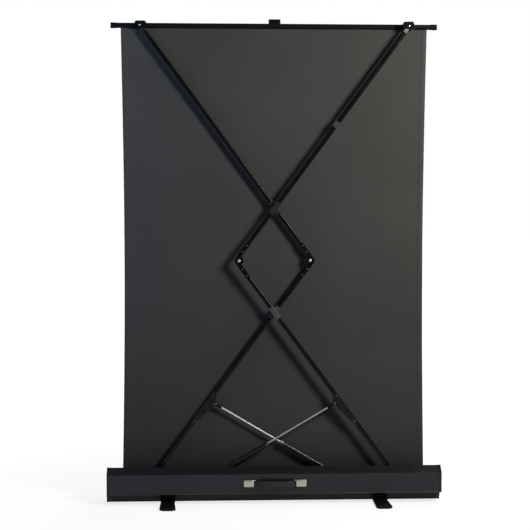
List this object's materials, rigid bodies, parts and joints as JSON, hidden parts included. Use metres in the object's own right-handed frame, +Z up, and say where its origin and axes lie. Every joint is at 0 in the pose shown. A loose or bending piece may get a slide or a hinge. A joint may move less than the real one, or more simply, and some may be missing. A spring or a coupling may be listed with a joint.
{
  "type": "floor-rising projection screen",
  "caption": "Portable projection screen that rises from a floor case on crossed folding arms with gas struts, a spring roller, a top batten and swivel feet.",
  "frame": {"origin": "on the floor below the middle of the case", "axes": "+Z up, +X along the case, +Y towards the audience; the arms are on the rear, -Y side"},
  "size_m": [1.35, 0.3418, 1.9464],
  "materials": {
    "case_metal": "black powder coat",
    "end_plastic": "moulded black",
    "arm_metal": "black powder coat",
    "plate_metal": "black enamel",
    "foot_metal": "black enamel",
    "pad_rubber": "matt",
    "sleeve_plastic": "moulded grey",
    "bright_steel": "bright",
    "bracket_steel": "zinc plated",
    "handle_cap": "satin nickel look",
    "strap": "flexible black",
    "fabric": "matt black back",
    "roller_metal": "mill finish"
  },
  "bodies": {
    "case": {"base_tray": "case_metal", "rear_cover": "case_metal", "front_cover": "case_metal", "left_end_cap": "end_plastic", "right_end_cap": "end_plastic", "left_base_bracket": "bracket_steel", "right_base_bracket": "bracket_steel", "left_strut_anchor": "bracket_steel", "right_strut_anchor": "bracket_steel", "handle_strap": "strap", "handle_left_cap": "handle_cap", "handle_right_cap": "handle_cap", "left_foot_mount": "foot_metal", "right_foot_mount": "foot_metal", "left_roller_bracket": "bracket_steel", "right_roller_bracket": "bracket_steel", "spring_shaft": "bright_steel", "roller_spring": "bright_steel", "screen_fabric": "fabric"},
    "roller": {"roller_tube": "roller_metal", "fabric_wrap": "fabric", "roller_idle_plug": "end_plastic", "roller_spring_plug": "end_plastic"},
    "left_foot": {"left_foot": "foot_metal", "left_rear_pad": "pad_rubber", "left_front_pad": "pad_rubber"},
    "right_foot": {"right_foot": "foot_metal", "right_rear_pad": "pad_rubber", "right_front_pad": "pad_rubber"},
    "left_lower_arm": {"left_lower_arm": "arm_metal", "left_lower_elbow_plate": "plate_metal", "left_strut_bracket": "plate_metal", "front_elbow_rivet": "bright_steel"},
    "right_lower_arm": {"right_lower_arm": "arm_metal", "right_lower_elbow_plate": "plate_metal", "right_strut_bracket": "plate_metal", "rear_elbow_rivet": "bright_steel"},
    "left_upper_arm": {"left_upper_arm": "arm_metal", "left_upper_elbow_plate": "plate_metal", "left_tongue": "bright_steel"},
    "right_upper_arm": {"right_upper_arm": "arm_metal", "right_upper_elbow_plate": "plate_metal", "right_tongue": "bright_steel", "sleeve_stop": "sleeve_plastic"},
    "lower_front_sleeve": {"lower_front_sleeve": "sleeve_plastic"},
    "lower_rear_sleeve": {"lower_rear_sleeve": "sleeve_plastic"},
    "upper_front_sleeve": {"upper_front_sleeve": "sleeve_plastic"},
    "upper_rear_sleeve": {"upper_rear_sleeve": "sleeve_plastic"},
    "left_strut_rod": {"left_strut_rod": "bright_steel"},
    "right_strut_rod": {"right_strut_rod": "bright_steel"},
    "left_strut_tube": {"left_strut_tube": "plate_metal"},
    "right_strut_tube": {"right_strut_tube": "plate_metal"},
    "batten": {"batten_tube": "case_metal", "left_batten_cap": "end_plastic", "right_batten_cap": "end_plastic", "left_saddle": "arm_metal", "right_saddle": "arm_metal", "left_top_rivet": "bright_steel", "right_top_rivet": "bright_steel", "pull_clip": "end_plastic"}
  },
  "joints": [
    {"name": "screen_fold", "type": "hinge", "parent": "case", "child": "left_lower_arm", "pos_m": [-0.538, -0.00328, 0.0425], "axis": [0, 1, 0], "range_deg": [0, 51.67], "deforming": ["screen_fabric"]},
    {"name": "right_fold", "type": "hinge", "parent": "case", "child": "right_lower_arm", "pos_m": [0.538, -0.02357, 0.0425], "axis": [0, -1, 0], "range_deg": [0, 51.7]},
    {"name": "front_elbow", "type": "hinge", "parent": "left_lower_arm", "child": "left_upper_arm", "pos_m": [0.14383, -0.00328, 0.98096], "axis": [0, -1, 0], "range_deg": [0, 103.4]},
    {"name": "rear_elbow", "type": "hinge", "parent": "right_lower_arm", "child": "right_upper_arm", "pos_m": [-0.14383, -0.02357, 0.98096], "axis": [0, 1, 0], "range_deg": [0, 103.4]},
    {"name": "batten_pivot", "type": "hinge", "parent": "left_upper_arm", "child": "batten", "pos_m": [-0.538, -0.00328, 1.91942], "axis": [0, 1, 0], "range_deg": [0, 51.7]},
    {"name": "lower_front_slide", "type": "slide", "parent": "left_lower_arm", "child": "lower_front_sleeve", "axis": [-0.5947, 0, -0.8039], "range_m": [0, 0.36651]},
    {"name": "lower_rear_slide", "type": "slide", "parent": "right_lower_arm", "child": "lower_rear_sleeve", "axis": [0.5947, 0, -0.8039], "range_m": [0, 0.36651]},
    {"name": "upper_front_slide", "type": "slide", "parent": "left_upper_arm", "child": "upper_front_sleeve", "axis": [-0.5947, 0, 0.8039], "range_m": [0, 0.36651]},
    {"name": "upper_rear_slide", "type": "slide", "parent": "right_upper_arm", "child": "upper_rear_sleeve", "axis": [0.5947, 0, 0.8039], "range_m": [0, 0.36651]},
    {"name": "left_strut_swing", "type": "hinge", "parent": "left_lower_arm", "child": "left_strut_rod", "pos_m": [-0.2432, -0.00328, 0.40062], "axis": [0, -1, 0], "range_deg": [0, 83.92]},
    {"name": "right_strut_swing", "type": "hinge", "parent": "right_lower_arm", "child": "right_strut_rod", "pos_m": [0.2432, -0.02357, 0.40062], "axis": [0, 1, 0], "range_deg": [0, 83.92]},
    {"name": "left_strut_stroke", "type": "slide", "parent": "left_strut_rod", "child": "left_strut_tube", "axis": [-0.8603, 0, 0.5097], "range_m": [0, 0.26637]},
    {"name": "right_strut_stroke", "type": "slide", "parent": "right_strut_rod", "child": "right_strut_tube", "axis": [0.8603, 0, 0.5097], "range_m": [0, 0.26637]},
    {"name": "roller_wind", "type": "hinge", "parent": "case", "child": "roller", "pos_m": [0, 0.04057, 0.062], "axis": [1, 0, 0], "range_deg": [0, 4171.39]},
    {"name": "left_foot_swivel", "type": "hinge", "parent": "case", "child": "left_foot", "pos_m": [-0.43, 0, 0], "axis": [0, 0, 1], "range_deg": [0, 90]},
    {"name": "right_foot_swivel", "type": "hinge", "parent": "case", "child": "right_foot", "pos_m": [0.43, 0, 0], "axis": [0, 0, -1], "range_deg": [0, 90]}
  ],
  "couplings": [
    {"joint": "right_fold", "follows": "screen_fold", "ratio": 1},
    {"joint": "front_elbow", "follows": "screen_fold", "ratio": 2},
    {"joint": "rear_elbow", "follows": "screen_fold", "ratio": 2},
    {"joint": "batten_pivot", "follows": "screen_fold", "ratio": 1},
    {"joint": "lower_front_slide", "follows": "screen_fold", "m_per_rad": 0.40617},
    {"joint": "lower_rear_slide", "follows": "screen_fold", "m_per_rad": 0.40617},
    {"joint": "upper_front_slide", "follows": "screen_fold", "m_per_rad": 0.40617},
    {"joint": "upper_rear_slide", "follows": "screen_fold", "m_per_rad": 0.40617},
    {"joint": "left_strut_swing", "follows": "screen_fold", "ratio": 1.6231},
    {"joint": "right_strut_swing", "follows": "screen_fold", "ratio": 1.6231},
    {"joint": "left_strut_stroke", "follows": "screen_fold", "m_per_rad": 0.2952},
    {"joint": "right_strut_stroke", "follows": "screen_fold", "m_per_rad": 0.2952},
    {"joint": "roller_wind", "follows": "screen_fold", "ratio": 80.683}
  ]
}
